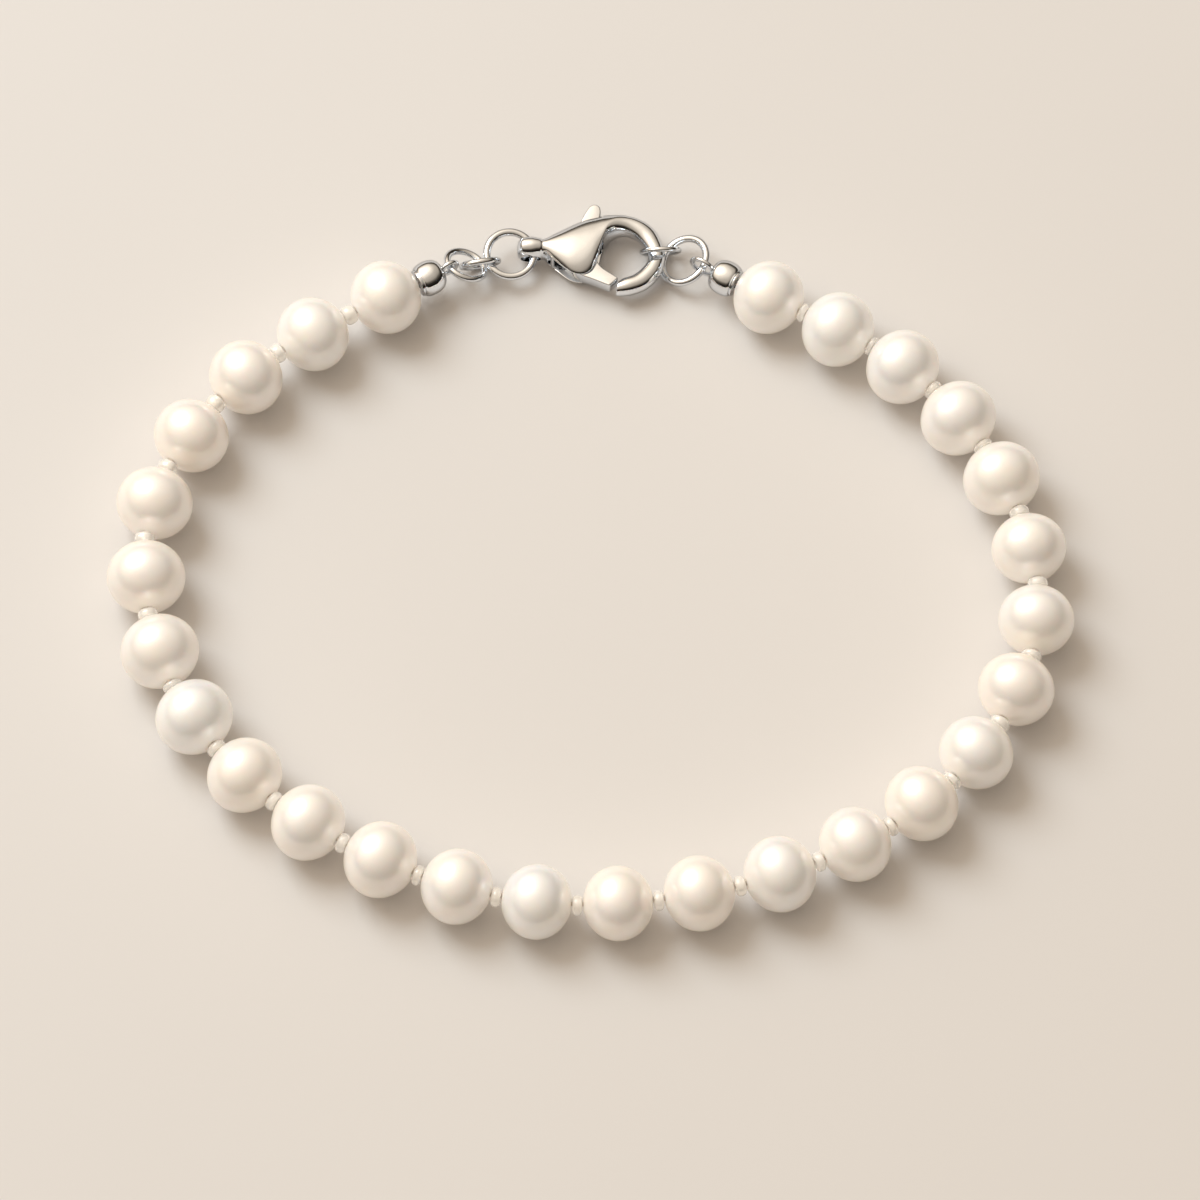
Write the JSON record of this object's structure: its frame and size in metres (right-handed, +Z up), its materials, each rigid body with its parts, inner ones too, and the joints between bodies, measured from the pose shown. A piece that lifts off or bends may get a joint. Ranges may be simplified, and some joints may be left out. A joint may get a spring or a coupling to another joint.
{
  "type": "pearl bracelet",
  "caption": "Bracelet of round pearls with small glass beads between them, closed with a lobster clasp and jump rings, lying flat.",
  "frame": {"origin": "middle of the bracelet's bounding box, at its bottom, on the surface that it lies on", "axes": "+X to the right along the closed clasp from its tail to its hook, +Y from the middle of the loop to the clasp, +Z up from the surface"},
  "size_m": [0.069, 0.0588, 0.0057],
  "materials": {
    "pearl": "pearly lustre, cream with faint rose and green overtones",
    "seed_bead": "milky translucent glass on a white thread",
    "steel": "polished stainless steel"
  },
  "bodies": {
    "bracelet": {"pearl_01": "pearl", "pearl_02": "pearl", "pearl_03": "pearl", "pearl_04": "pearl", "pearl_05": "pearl", "pearl_06": "pearl", "pearl_07": "pearl", "pearl_08": "pearl", "pearl_09": "pearl", "pearl_10": "pearl", "pearl_11": "pearl", "pearl_12": "pearl", "pearl_13": "pearl", "pearl_14": "pearl", "pearl_15": "pearl", "pearl_16": "pearl", "pearl_17": "pearl", "pearl_18": "pearl", "pearl_19": "pearl", "pearl_20": "pearl", "pearl_21": "pearl", "pearl_22": "pearl", "pearl_23": "pearl", "pearl_24": "pearl", "pearl_25": "pearl", "pearl_26": "pearl", "pearl_27": "pearl", "thread_and_seed_beads": "seed_bead", "clasp_body": "steel", "clasp_ring": "steel", "left_link": "steel", "left_ring": "steel", "left_end_bead": "steel", "hook_link": "steel", "right_ring": "steel", "right_end_bead": "steel"},
    "lever": {"clasp_lever": "steel"}
  },
  "joints": [
    {"name": "lever_hinge", "type": "hinge", "parent": "bracelet", "child": "lever", "pos_m": [-0.00059, 0.02493, 0.00145], "axis": [0, 0, 1], "range_deg": [0, 25], "stiffness_Nm_per_rad": 0.005, "springref_deg": -5.73}
  ]
}
